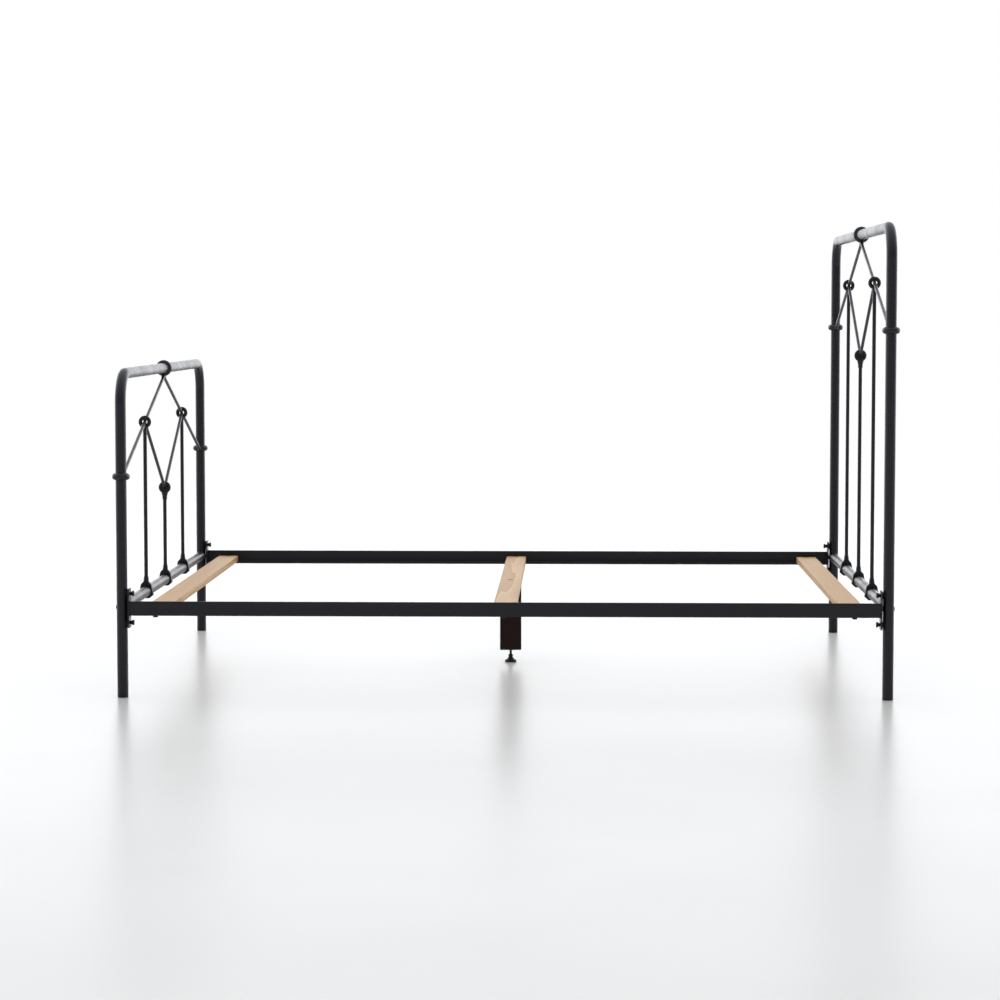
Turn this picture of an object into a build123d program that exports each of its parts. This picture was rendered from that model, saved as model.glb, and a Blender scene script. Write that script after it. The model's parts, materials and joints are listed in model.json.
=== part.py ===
"""A metal bed frame: two bent-tube end panels with cast collars, bolted angle rails, slats and a centre leg.

Millimetres, +Z up.  The origin is on the floor under the middle of the frame.  +X points at the head end,
+Y at the left side as seen from the foot end.
"""

from build123d import *
import os

# Overall layout
post_x = 1050.0  # middle of the frame to the plane of an end panel
post_y = 795.0  # middle of the frame to a post's axis
rail_tops = {"head": 1290.0, "foot": 890.0}  # height of each top rail's axis
end_signs = {"head": 1, "foot": -1}
side_signs = {"left": 1, "right": -1}

# Panel tubes
tube_r = 15.0
tube_wall = 1.5
bend_r = 82.0  # on the tube's axis
bar_z = 250.0  # height of the lower crossbar's axis

# Panel castings and rods
bead_r = 9.3  # rounded collars round the posts and the top rail
bead_gap = 0.05  # the collars' bores clear the tube by this much
diagonal_r = 4.75
spindle_r = 5.5
spindle_y = 371.0  # side spindles, either side of the middle one
ring_r = 12.95  # knuckle ring, to the middle of its section
ring_section_r = 5.55
disc_depth = 6.0  # the centre knuckle's ring is closed by a disc
web_width = 8.0  # short webs that hold the rods inside a knuckle
web_depth = 7.0
web_reach = 11.0  # from the knuckle's middle, into the ring's own section
post_collar_drop = 281.0  # below the top rail's axis
knuckle_drop = 148.0
centre_knuckle_drop = 361.0
neck_top_r = 9.0
neck_foot_r = 7.0
neck_length = 24.0
neck_waist = (7.2, -0.45 * neck_length)  # where the flare from the ring has mostly closed
spindle_tuck = 20.0  # centre spindle's top, below the centre knuckle's middle

# Shoes that hold the spindles on the crossbar
shoe_thickness = 16.0
shoe_outline = [(6.5, 30), (15, 21), (21, -10), (10, -20), (-10, -20), (-21, -10), (-15, 21), (-6.5, 30)]
shoe_round = 1.5
shoe_neck_z = (28.0, 44.0)  # above the crossbar's axis
shoe_neck_r = (8.5, 6.5)
spindle_foot = 17.0  # spindle's lower end, above the crossbar's axis

# Glides in the posts' lower ends
glide_height = 6.0
plug_length = 20.0
plug_gap = 0.1
plug_hollow_r = 10.0

# Side rails: equal angle, upright leg outside, flange along the bottom
angle_size = 40.0
angle_wall = 3.0
angle_face_y = 811.0
angle_foot_z = 227.0
angle_root_r = 3.5  # rolled radius inside the corner
angle_heel_r = 1.0
angle_inner_y = angle_face_y - angle_wall
angle_inner_z = angle_foot_z + angle_wall
angle_outline = [
    (angle_face_y, angle_foot_z),
    (angle_face_y, angle_foot_z + angle_size),
    (angle_inner_y, angle_foot_z + angle_size),
    (angle_inner_y, angle_inner_z),
    (angle_face_y - angle_size, angle_inner_z),
    (angle_face_y - angle_size, angle_foot_z),
]
plate_face_x = 1028.0  # bed-side face of the end plates
plate_thickness = 4.0
plate_width = 40.0
plate_height = 108.0
plate_corner_r = 6.0
rail_middle_z = angle_foot_z + angle_size / 2
bolt_z = (rail_middle_z - 40, rail_middle_z + 40)

# M8 fastenings
bolt_r = 3.95
thread_bore_r = 4.05
clearance_r = 4.5
hex_flats = 13.0
bolt_head = 5.5
bolt_length = 24.0
shoulder_r = 5.0  # plain shoulder that holds a rail bolt's head off the plate
shoulder_length = 6.0
nut_height = 6.0
dome_r = 9.0
dome_height = 3.5
seat_r = 10.0  # sunk seat in the slat for a bolt's round head
seat_depth = 4.5
insert_r = 5.5
saddle_r = (8.0, 13.0)  # at the plate, and where it opens on to the post
saddle_reach = 10.0

# Slats and centre leg
slat_x = {"foot": -959.0, "middle": 0.0, "head": 959.0}
slat_width = 64.0
slat_thickness = 20.0
slat_length = 1606.0
slat_bolt_y = 788.0
wood_round = 2.5
slat_foot_z = angle_inner_z
slat_top_z = slat_foot_z + slat_thickness
seat_z = slat_top_z - seat_depth
leg_depth = 38.0
leg_foot_z = 38.0
wood_insert_r = 6.0
wood_insert_length = 25.0
leg_bolt_length = 60.0

# Leveller under the centre leg
flange_r = 10.0
flange_thickness = 1.5
stem_bore_top = 95.0
stem_top = 78.0
stem_r = 3.9
ball_z = 10.0
ball_r = 5.0
socket_gap = 0.3
collar_z = (18.0, 23.0)
collar_flats = 14.0
base_r = 17.5
base_rim = 4.0
base_top_r = 7.0
base_height = 15.0
base_round = 1.2

os.makedirs("parts", exist_ok=True)


def make_bead_outline(inner_r):
    """Half section of a rounded collar, in the sketch's own X (radius) and Y (along the tube)."""
    with BuildSketch() as outline:
        with Locations((tube_r, 0)):
            Circle(bead_r)
        with Locations((inner_r, 0)):
            Rectangle(2 * tube_r, 2 * bead_r, align=(Align.MIN, Align.CENTER), mode=Mode.INTERSECT)
    return outline.sketch


def make_collar(middle, along):
    """A cast collar: a half-round bead on a tube, the tube running through it."""
    place = Plane(origin=middle, x_dir=(1, 0, 0), z_dir=Vector(1, 0, 0).cross(Vector(*along)))
    with BuildPart() as collar:
        with BuildSketch(place):
            add(bead_outline)
        revolve(axis=Axis(middle, along))
    return collar.part


def make_cylinder(start, finish, radius):
    """A plain round bar, also used as the shape that a tube takes out of its neighbours."""
    run = Vector(*finish) - Vector(*start)
    with BuildPart() as bar:
        with BuildSketch(Plane(origin=start, z_dir=run)):
            Circle(radius)
        extrude(amount=run.length)
    return bar.part


def make_rod(start, finish, radius, cutters):
    """A round rod whose ends are shaped to the pieces it is joined to."""
    run = Vector(*finish) - Vector(*start)
    with BuildPart() as rod:
        with BuildSketch(Plane(origin=start, z_dir=run)):
            Circle(radius)
        extrude(amount=run.length)
        for cutter in cutters:
            add(cutter, mode=Mode.SUBTRACT)
    return rod.part


def make_knuckle(middle, rods, neck):
    """A cast ring with its axis across the bed, and short webs that grip the rods inside it.

    The centre knuckle ends in a neck, and a disc closes its ring.
    """
    x, y, z = middle
    with BuildPart() as knuckle:
        with Locations(middle):
            Torus(ring_r, ring_section_r, rotation=(90, 0, 0))
            Box(web_width, web_depth, 2 * web_reach)
        if neck:
            with Locations(middle):
                Cylinder(ring_r, disc_depth, rotation=(90, 0, 0))
            with BuildSketch(Plane(origin=(x, y, z - ring_r), x_dir=(1, 0, 0), z_dir=(0, -1, 0))):
                with BuildLine():
                    Polyline((neck_foot_r, -neck_length), (0, -neck_length), (0, 0), (neck_top_r, 0))
                    ThreePointArc((neck_top_r, 0), neck_waist, (neck_foot_r, -neck_length))
                make_face()
            revolve(axis=Axis((x, y, 0), (0, 0, 1)))
            with BuildSketch(Plane.XY.offset(z - spindle_tuck)):
                with Locations((x, y)):
                    Circle(spindle_r)
            extrude(amount=-2 * neck_length, mode=Mode.SUBTRACT)
        for rod in rods:
            add(rod, mode=Mode.SUBTRACT)
    return knuckle.part


def save(part, name):
    """Label a finished piece and write it to its own file."""
    part.label = name
    export_step(part, f"parts/{name}.step")


bead_outline = make_bead_outline(tube_r + bead_gap)


def make_panel(end):
    """Every piece of one end panel."""
    sign = end_signs[end]
    x = sign * post_x
    top_z = rail_tops[end]
    collar_z = top_z - post_collar_drop
    knuckle_z = top_z - knuckle_drop
    centre_z = top_z - centre_knuckle_drop
    inner_r = tube_r - tube_wall

    # The hoop: one tube bent up, across and down, drilled for the thread inserts.
    with BuildPart() as hoop:
        with BuildLine() as centreline:
            FilletPolyline(
                (x, -post_y, glide_height),
                (x, -post_y, top_z),
                (x, post_y, top_z),
                (x, post_y, glide_height),
                radius=bend_r,
            )
        with BuildSketch(Plane(origin=(x, -post_y, glide_height), z_dir=(0, 0, 1))):
            Circle(tube_r)
            Circle(inner_r, mode=Mode.SUBTRACT)
        sweep()
        drill = Plane(origin=(x, 0, 0), x_dir=(0, 1, 0), z_dir=(-sign, 0, 0))
        with BuildSketch(drill):
            for y in (-post_y, post_y):
                for z in bolt_z:
                    with Locations(drill.to_local_coords(Vector(x, y, z))):
                        Circle(insert_r)
        extrude(amount=2 * tube_r, mode=Mode.SUBTRACT)
    save(hoop.part, f"{end}_hoop")

    # The lower crossbar: a straight tube, its ends coped to the posts.
    posts = [make_cylinder((x, y, 0), (x, y, 2 * bar_z), tube_r) for y in (-post_y, post_y)]
    with BuildPart() as crossbar:
        with BuildSketch(Plane(origin=(x, -post_y, bar_z), z_dir=(0, 1, 0))):
            Circle(tube_r)
            Circle(inner_r, mode=Mode.SUBTRACT)
        extrude(amount=2 * post_y)
        for post in posts:
            add(post, mode=Mode.SUBTRACT)
    save(crossbar.part, f"{end}_crossbar")

    # Cast collars on the posts and on the middle of the top rail.
    top_middle = (x, 0, top_z)
    top_collar = make_collar(top_middle, (0, 1, 0))
    save(top_collar, f"{end}_top_collar")
    bore_r = tube_r + 2 * bead_gap
    top_rail = make_cylinder((x, -ring_r, top_z), (x, ring_r, top_z), bore_r)

    diagonals = []
    inner_diagonals = []
    for side, turn in side_signs.items():
        collar_middle = (x, turn * post_y, collar_z)
        post_collar = make_collar(collar_middle, (0, 0, 1))
        save(post_collar, f"{end}_post_collar_{side}")

        # The outer diagonal runs in one straight line: top collar, knuckle, post collar.
        knuckle = Vector(x, turn * spindle_y, knuckle_z)
        drop = (top_z - bead_r - tube_r - knuckle_z) / spindle_y
        above = knuckle + Vector(0, -turn, drop) * (spindle_y + bead_r)
        below = knuckle + Vector(0, turn, -drop) * (post_y - spindle_y)
        post_foot = Vector(x, turn * post_y, collar_z - 3 * bead_r)
        post = make_cylinder(post_foot, post_foot + Vector(0, 0, 6 * bead_r), bore_r)
        diagonal = make_rod(above, below, diagonal_r, [top_collar, top_rail, post_collar, post])
        with BuildPart() as outer:
            add(diagonal)
            split(bisect_by=Plane(origin=(x, 0, 0), z_dir=(0, turn, 0)), keep=Keep.TOP)
        save(outer.part, f"{end}_outer_diagonal_{side}")
        diagonals.append(outer.part)

        # The inner diagonal comes down from the knuckle to the one in the middle.
        centre = Vector(x, 0, centre_z)
        past = centre + (centre - knuckle).normalized() * bead_r
        lower = make_rod(knuckle, past, diagonal_r, [outer.part])
        with BuildPart() as inner:
            add(lower)
            split(bisect_by=Plane(origin=(x, 0, 0), z_dir=(0, turn, 0)), keep=Keep.TOP)
        save(inner.part, f"{end}_inner_diagonal_{side}")
        inner_diagonals.append(inner.part)

        ring = make_knuckle((x, turn * spindle_y, knuckle_z), [outer.part, inner.part], False)
        save(ring, f"{end}_knuckle_{side}")
        spindle = make_rod(
            (x, turn * spindle_y, bar_z + spindle_foot),
            (x, turn * spindle_y, knuckle_z - ring_r),
            spindle_r,
            [ring],
        )
        save(spindle, f"{end}_spindle_{side}")

    centre_ring = make_knuckle((x, 0, centre_z), inner_diagonals, True)
    save(centre_ring, f"{end}_knuckle_centre")
    centre_spindle = make_rod(
        (x, 0, bar_z + spindle_foot), (x, 0, centre_z - spindle_tuck), spindle_r, []
    )
    save(centre_spindle, f"{end}_spindle_centre")

    # Cast shoes: an angular collar round the crossbar that opens upward into each spindle.
    with BuildPart() as shoes:
        for y in (-spindle_y, 0, spindle_y):
            with BuildSketch(Plane(origin=(x, y, bar_z), x_dir=(1, 0, 0), z_dir=(0, -1, 0))):
                Polygon(*shoe_outline, align=None)
            extrude(amount=shoe_thickness / 2, both=True)
        fillet(shoes.edges().filter_by(Axis.Y), shoe_round)
        for y in (-spindle_y, 0, spindle_y):
            for level, radius in zip(shoe_neck_z, shoe_neck_r):
                with BuildSketch(Plane.XY.offset(bar_z + level)):
                    with Locations((x, y)):
                        Circle(radius)
            loft()
        with BuildSketch(Plane(origin=(x, -post_y, bar_z), z_dir=(0, 1, 0))):
            Circle(tube_r)
        extrude(amount=2 * post_y, mode=Mode.SUBTRACT)
        with BuildSketch(Plane.XY.offset(bar_z + spindle_foot)):
            with Locations((x, -spindle_y), (x, 0), (x, spindle_y)):
                Circle(spindle_r)
        extrude(amount=shoe_neck_z[1], mode=Mode.SUBTRACT)
    save(shoes.part, f"{end}_spindle_shoes")

    # Moulded glides: a rim under each tube end and a hollow plug inside it.
    with BuildPart() as glides:
        with BuildSketch():
            with Locations((x, -post_y), (x, post_y)):
                Circle(tube_r)
        extrude(amount=glide_height)
        fillet(glides.edges().group_by(Axis.Z)[0], 2)
        with BuildSketch(Plane.XY.offset(glide_height)):
            with Locations((x, -post_y), (x, post_y)):
                Circle(inner_r - plug_gap)
                Circle(plug_hollow_r, mode=Mode.SUBTRACT)
        extrude(amount=plug_length)
    save(glides.part, f"{end}_post_glides")

    # Thread inserts: plain sleeve in the drilled wall, with a formed shoulder behind it.
    with BuildPart() as inserts:
        for y in (-post_y, post_y):
            for z in bolt_z:
                mouth = Vector(x - sign * (tube_r - 1.2), y, z)
                inward = Plane(origin=mouth, z_dir=(sign, 0, 0))
                with BuildSketch(inward):
                    Circle(insert_r)
                extrude(amount=16)
                with BuildSketch(inward.offset(3)):
                    Circle(insert_r + 2)
                extrude(amount=2.5)
                with BuildSketch(inward):
                    Circle(thread_bore_r)
                extrude(amount=16, mode=Mode.SUBTRACT)
    save(inserts.part, f"{end}_thread_inserts")


for end_name in end_signs:
    make_panel(end_name)

# Side rails: angle with holes for the slat bolts in its flange.
for side, turn in side_signs.items():
    with BuildPart() as rail:
        with BuildSketch(Plane(origin=(-plate_face_x, 0, 0), x_dir=(0, 1, 0), z_dir=(1, 0, 0))) as angle:
            with BuildLine():
                Polyline(*[(turn * y, z) for y, z in angle_outline], close=True)
            make_face()
            fillet(angle.vertices().sort_by_distance((turn * angle_inner_y, angle_inner_z))[0], angle_root_r)
            fillet(angle.vertices().sort_by_distance((turn * angle_face_y, angle_foot_z))[0], angle_heel_r)
        extrude(amount=2 * plate_face_x)
        with BuildSketch(Plane.XY.offset(angle_foot_z)):
            with Locations(*[(x, turn * slat_bolt_y) for x in slat_x.values()]):
                Circle(clearance_r)
        extrude(amount=angle_wall, mode=Mode.SUBTRACT)
    save(rail.part, f"side_rail_{side}")

# End plates, welded to the rails' ends.
for end, sign in end_signs.items():
    for side, turn in side_signs.items():
        face = Plane(origin=(sign * plate_face_x, turn * post_y, rail_middle_z), x_dir=(0, 1, 0), z_dir=(sign, 0, 0))
        with BuildPart() as plate:
            with BuildSketch(face):
                RectangleRounded(plate_width, plate_height, plate_corner_r)
                with GridLocations(0, bolt_z[1] - bolt_z[0], 1, 2):
                    Circle(clearance_r, mode=Mode.SUBTRACT)
            extrude(amount=plate_thickness)
        save(plate.part, f"rail_plate_{end}_{side}")

# Where the rails' bolts go: on the bed-side face of the plates, pointing into the posts.
bolt_places = [
    Plane(origin=(sign * plate_face_x, turn * post_y, z), x_dir=(0, 0, 1), z_dir=(sign, 0, 0))
    for sign in end_signs.values()
    for turn in side_signs.values()
    for z in bolt_z
]

with BuildPart() as hex_bolt:
    with BuildSketch(Plane.XY.offset(-shoulder_length - bolt_head)):
        RegularPolygon(hex_flats / 2, 6, major_radius=False)
    extrude(amount=bolt_head)
    chamfer(hex_bolt.edges().group_by(Axis.Z)[0], 0.6)
    with BuildSketch(Plane.XY.offset(-shoulder_length)):
        Circle(shoulder_r)
    extrude(amount=shoulder_length)
    with BuildSketch():
        Circle(bolt_r)
    extrude(amount=bolt_length)

with BuildPart() as rail_bolts:
    with Locations(*[place.location for place in bolt_places]):
        add(hex_bolt.part)
save(rail_bolts.part, "rail_bolts")

# Saddle spacers: they open on to the post, and the bolt goes through them.
with BuildPart() as saddle:
    for level, radius in zip((plate_thickness, plate_thickness + saddle_reach), saddle_r):
        with BuildSketch(Plane.XY.offset(level)):
            Circle(radius)
    loft()
    with BuildSketch(Plane.YZ.offset(-2 * tube_r)):
        with Locations((0, post_x - plate_face_x)):
            Circle(tube_r)
    extrude(amount=4 * tube_r, mode=Mode.SUBTRACT)
    with BuildSketch():
        Circle(clearance_r)
    extrude(amount=2 * tube_r, mode=Mode.SUBTRACT)

with BuildPart() as saddles:
    with Locations(*[place.location for place in bolt_places]):
        add(saddle.part)
save(saddles.part, "saddle_spacers")

# Slats across the rails' flanges.
for name, x in slat_x.items():
    with BuildPart() as slat:
        with BuildSketch(Plane.XY.offset(slat_foot_z)):
            with Locations((x, 0)):
                Rectangle(slat_width, slat_length)
        extrude(amount=slat_thickness)
        fillet(slat.edges(), wood_round)
        holes = [(x, -slat_bolt_y), (x, slat_bolt_y)]
        if name == "middle":
            holes.append((x, 0))
        with BuildSketch(Plane.XY.offset(slat_foot_z)):
            with Locations(*holes):
                Circle(clearance_r)
        extrude(amount=slat_thickness, mode=Mode.SUBTRACT)
        with BuildSketch(Plane.XY.offset(slat_top_z)):
            with Locations(*holes):
                Circle(seat_r)
        extrude(amount=-seat_depth, mode=Mode.SUBTRACT)
    save(slat.part, f"slat_{name}")


def make_dome_bolt(length):
    """A round-headed bolt that hangs in a slat's sunk seat, the seat at the origin."""
    with BuildPart() as bolt:
        with BuildSketch(Plane.XZ):
            with BuildLine():
                ThreePointArc((0, dome_height), (dome_r * 0.62, dome_height * 0.68), (dome_r, 0.6))
                Polyline((dome_r, 0.6), (dome_r, 0), (bolt_r, 0), (bolt_r, -length), (0, -length), (0, dome_height))
            make_face()
        revolve(axis=Axis.Z)
    return bolt.part


slat_bolt_spots = [(x, y) for x in slat_x.values() for y in (-slat_bolt_y, slat_bolt_y)]
short_bolt = make_dome_bolt(seat_z - angle_foot_z + nut_height + 1)
with BuildPart() as slat_bolts:
    with Locations(*[(x, y, seat_z) for x, y in slat_bolt_spots]):
        add(short_bolt)
save(slat_bolts.part, "slat_bolts")

with BuildPart() as slat_nuts:
    with BuildSketch(Plane.XY.offset(angle_foot_z)):
        with Locations(*slat_bolt_spots):
            RegularPolygon(hex_flats / 2, 6, major_radius=False)
            Circle(thread_bore_r, mode=Mode.SUBTRACT)
    extrude(amount=-nut_height)
save(slat_nuts.part, "slat_nuts")

# The centre leg: a board stood on end under the middle slat, with a threaded insert in each end.
with BuildPart() as centre_leg:
    with BuildSketch(Plane.XY.offset(leg_foot_z)):
        Rectangle(slat_width, leg_depth)
    extrude(amount=slat_foot_z - leg_foot_z)
    fillet(centre_leg.edges(), wood_round)
    with BuildSketch(Plane.XY.offset(slat_foot_z)):
        Circle(wood_insert_r)
    extrude(amount=-wood_insert_length, mode=Mode.SUBTRACT)
    with BuildSketch(Plane.XY.offset(slat_foot_z)):
        Circle(clearance_r)
    extrude(amount=-leg_bolt_length, mode=Mode.SUBTRACT)
    with BuildSketch(Plane.XY.offset(leg_foot_z)):
        Circle(wood_insert_r)
    extrude(amount=wood_insert_length, mode=Mode.SUBTRACT)
    with BuildSketch(Plane.XY.offset(leg_foot_z)):
        Circle(clearance_r)
    extrude(amount=stem_bore_top - leg_foot_z, mode=Mode.SUBTRACT)
save(centre_leg.part, "centre_leg")

leg_bolt = make_dome_bolt(leg_bolt_length)
with BuildPart() as leg_bolt_placed:
    with Locations((0, 0, seat_z)):
        add(leg_bolt)
save(leg_bolt_placed.part, "leg_bolt")

with BuildPart() as leg_insert:
    with BuildSketch(Plane.XY.offset(slat_foot_z)):
        Circle(wood_insert_r)
        Circle(thread_bore_r, mode=Mode.SUBTRACT)
    extrude(amount=-wood_insert_length)
save(leg_insert.part, "leg_insert")

with BuildPart() as leveller_insert:
    with BuildSketch(Plane.XY.offset(leg_foot_z)):
        Circle(wood_insert_r)
    extrude(amount=wood_insert_length)
    with BuildSketch(Plane.XY.offset(leg_foot_z)):
        Circle(flange_r)
    extrude(amount=-flange_thickness)
    with BuildSketch(Plane.XY.offset(leg_foot_z - flange_thickness)):
        Circle(thread_bore_r)
    extrude(amount=wood_insert_length + flange_thickness, mode=Mode.SUBTRACT)
save(leveller_insert.part, "leveller_insert")

# The leveller: a threaded stem with a hex collar, its ball end turning in a moulded base.
with BuildPart() as leveller_stem:
    with BuildSketch(Plane.XY.offset(ball_z)):
        Circle(stem_r)
    extrude(amount=stem_top - ball_z)
    chamfer(leveller_stem.edges().group_by(Axis.Z)[-1], 0.8)
    with Locations((0, 0, ball_z)):
        Sphere(ball_r)
    with BuildSketch(Plane.XY.offset(collar_z[0])):
        RegularPolygon(collar_flats / 2, 6, major_radius=False)
    extrude(amount=collar_z[1] - collar_z[0])
save(leveller_stem.part, "leveller_stem")

with BuildPart() as leveller_base:
    with BuildSketch():
        Circle(base_r)
    extrude(amount=base_rim)
    fillet(leveller_base.edges(), base_round)
    with BuildSketch(Plane.XY.offset(base_rim)):
        Circle(base_r - 2 * base_round)
    with BuildSketch(Plane.XY.offset(base_height)):
        Circle(base_top_r)
    loft()
    with Locations((0, 0, ball_z)):
        Sphere(ball_r + socket_gap, mode=Mode.SUBTRACT)
    with BuildSketch(Plane.XY.offset(ball_z)):
        Circle(stem_r + 2 * socket_gap)
    extrude(amount=base_height - ball_z, mode=Mode.SUBTRACT)
save(leveller_base.part, "leveller_base")
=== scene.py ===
# %% [markdown]
# # A black iron bed frame, dressed around its CAD model
#
# The steel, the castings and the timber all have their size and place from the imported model.
# This lesson loads that model as a fixed frame, gives every piece the finish it has in the workshop,
# and replaces the few pieces whose surface is more than a plain solid can say: castings with soft
# fillets, screw threads, weld beads. Lengths are in metres, and `mm` turns millimetres into them.

# %% The frame
import json
import math
import bmesh
import bpy
from mathutils import Matrix, Vector


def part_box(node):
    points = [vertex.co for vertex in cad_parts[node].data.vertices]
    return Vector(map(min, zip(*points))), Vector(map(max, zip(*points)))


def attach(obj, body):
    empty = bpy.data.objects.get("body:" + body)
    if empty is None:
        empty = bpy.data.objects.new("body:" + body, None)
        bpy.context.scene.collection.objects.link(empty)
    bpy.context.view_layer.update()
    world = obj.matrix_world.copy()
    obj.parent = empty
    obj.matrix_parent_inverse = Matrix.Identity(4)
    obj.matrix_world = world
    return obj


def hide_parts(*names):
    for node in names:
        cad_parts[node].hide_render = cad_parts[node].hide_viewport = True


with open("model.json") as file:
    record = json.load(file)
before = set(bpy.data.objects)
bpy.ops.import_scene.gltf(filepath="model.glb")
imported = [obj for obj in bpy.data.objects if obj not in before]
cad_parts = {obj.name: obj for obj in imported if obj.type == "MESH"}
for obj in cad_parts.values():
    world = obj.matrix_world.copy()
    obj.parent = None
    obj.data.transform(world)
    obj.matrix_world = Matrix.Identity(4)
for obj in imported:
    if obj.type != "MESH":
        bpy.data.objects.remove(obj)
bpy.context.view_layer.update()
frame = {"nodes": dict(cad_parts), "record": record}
nodes = frame["nodes"]
mm = 0.001

# %% [markdown]
# ## Where things are
#
# Every place is read from the model's own boxes, so a change in the CAD moves the new pieces with it.
# A node's box gives its lowest and highest corner; the middle and the size are what the pieces need.

# %% Reading places
def middle_of(node):
    """The middle of a CAD node's box."""
    low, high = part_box(node)
    return (low + high) / 2


def size_of(node):
    """The size of a CAD node's box."""
    low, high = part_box(node)
    return high - low


ends = ("head", "foot")
sides = ("left", "right")
tube_r = size_of("head_crossbar").x / 2
print("tube radius:", round(tube_r / mm, 2), "mm")

# %% [markdown]
# ## The camera
#
# A bed is shown from its side with a long lens, from far enough back that the two ends look nearly
# square on. The camera stands a little below the headboard's height and looks slightly down.

# %% Camera
camera_data = bpy.data.cameras.new("view")
camera_data.lens = 98.4
camera_data.sensor_width = 36
camera_data.clip_end = 200
camera = bpy.data.objects.new("view", camera_data)
camera.location = (0.195, -8.243, 1.056)
camera.rotation_euler = (math.radians(90 - 3.912), 0, math.radians(1.581))
bpy.context.scene.collection.objects.link(camera)
bpy.context.scene.camera = camera
print("lens:", camera_data.lens, "mm")

# %% [markdown]
# ## Nodes and colours
#
# A material here is a handful of nodes. One function adds a node, sets its plain values and links its
# inputs, so each finish below reads as a list of what it is made of. Colours are written as the hex
# values a paint chart would give, which are sRGB, and turned to the linear values that light needs.

# %% Helpers for materials
def linear(hex_colour):
    """A hex sRGB colour as linear RGBA."""
    values = [int(hex_colour[i:i + 2], 16) / 255 for i in (1, 3, 5)]
    return [v / 12.92 if v <= 0.04045 else ((v + 0.055) / 1.055) ** 2.4 for v in values] + [1.0]


def add_node(tree, kind, settings=None, **inputs):
    """Adds a node, sets its properties, and fills or links its inputs.

    An input is named in words, From_Min for "From Min", or by its number, i0 for the first.
    """
    node = tree.nodes.new("ShaderNode" + kind)
    for name, value in (settings or {}).items():
        setattr(node, name, value)
    for name, value in inputs.items():
        numbered = name[0] == "i" and name[1:].isdigit()
        socket = node.inputs[int(name[1:]) if numbered else name.replace("_", " ")]
        if isinstance(value, bpy.types.NodeSocket):
            tree.links.new(value, socket)
        else:
            socket.default_value = value
    return node


def new_finish(name, **plain):
    """A named material, its node tree and its shader, with the values that are the same all over."""
    material = bpy.data.materials.new(name)
    material.use_nodes = True
    shader = material.node_tree.nodes["Principled BSDF"]
    for key, value in plain.items():
        shader.inputs[key.replace("_", " ")].default_value = value
    return material, material.node_tree, shader


def dress(tree, shader, colour, roughness, height, strength, distance):
    """Links a finish's colour and roughness, and turns its height into a bump."""
    bump = add_node(tree, "Bump", Height=height, Strength=strength, Distance=distance)
    tree.links.new(colour.outputs[0], shader.inputs["Base Color"])
    tree.links.new(roughness.outputs[0], shader.inputs["Roughness"])
    tree.links.new(bump.outputs["Normal"], shader.inputs["Normal"])


# %% [markdown]
# ## Satin black powder coat
#
# The tubes, rods and angles are sprayed with dry powder, which melts and flows in an oven. The film is
# even but never quite flat: orange peel, a soft ripple some millimetres across, shows where a highlight
# runs along a tube. Real peel is about 2 mm and a few microns deep, and here it is drawn at 6 mm so
# that it still shows from across a room. The colour is a black with a little blue in it, and the gloss
# drifts slowly along each tube, as the spray gun's passes did. The film is a clear-bound plastic, so
# it has the IOR of one, and low light that grazes it comes back bright.

# %% Powder coat
def make_powder_coat():
    """A black film with a soft ripple, for the steel."""
    material, tree, shader = new_finish("satin_black_powder_coat", IOR=1.5)
    place = add_node(tree, "TexCoord").outputs["Object"]
    spray = add_node(tree, "TexNoise", Vector=place, Scale=1 / (90 * mm), Detail=3.0)
    peel = add_node(tree, "TexNoise", Vector=place, Scale=1 / (6 * mm), Detail=1.0)
    colour = add_node(
        tree, "MixRGB", Fac=spray.outputs["Fac"], Color1=linear("#100f18"), Color2=linear("#191824"))
    gloss = add_node(
        tree, "MapRange", Value=spray.outputs["Fac"], From_Min=0.3, From_Max=0.7, To_Min=0.36, To_Max=0.44)
    dress(tree, shader, colour, gloss, peel.outputs["Fac"], 0.15, 0.25 * mm)
    return material


powder_coat = make_powder_coat()
print("finish:", powder_coat.name)

# %% [markdown]
# ## Painted castings
#
# The collars, knuckles and shoes are cast iron, poured round the rods in small hinged moulds and then
# coated with the rest. A casting's skin is coarser than drawn steel: under the same film it keeps the
# fine pebble of the mould, about 1.5 mm here drawn at 2.5 mm, and some shallow hollows. The film is
# thinner over high spots, so the gloss follows the pebble. The colour is darker in the hollows, which
# is painted shade.

# %% Painted castings
def make_painted_casting():
    """The same film over the pebbled skin of cast iron."""
    material, tree, shader = new_finish("coated_cast_iron", IOR=1.5)
    place = add_node(tree, "TexCoord").outputs["Object"]
    pebble = add_node(tree, "TexNoise", Vector=place, Scale=1 / (2.5 * mm), Detail=3.0, Roughness=0.6)
    hollow = add_node(tree, "TexNoise", Vector=place, Scale=1 / (12 * mm), Detail=1.0)
    skin = add_node(
        tree, "Math", {"operation": "MULTIPLY_ADD"},
        i0=hollow.outputs["Fac"], i1=2.0, i2=pebble.outputs["Fac"])
    # The colour is darker where the hollows sink. This is painted shade, not a change in the paint.
    colour = add_node(
        tree, "MixRGB", Fac=hollow.outputs["Fac"], Color1=linear("#0e0d12"), Color2=linear("#19181f"))
    gloss = add_node(
        tree, "MapRange", Value=pebble.outputs["Fac"], From_Min=0.3, From_Max=0.7, To_Min=0.32, To_Max=0.5)
    dress(tree, shader, colour, gloss, skin.outputs[0], 0.45, 0.3 * mm)
    return material


painted_casting = make_painted_casting()
print("finish:", painted_casting.name)

# %% [markdown]
# ## Black oxide steel
#
# The bolts and nuts are blackened steel: a thin dark film on the metal, so highlights keep a metallic
# look. Handling rubs the film unevenly, which a mottle of about 5 mm shows in colour and gloss.

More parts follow.
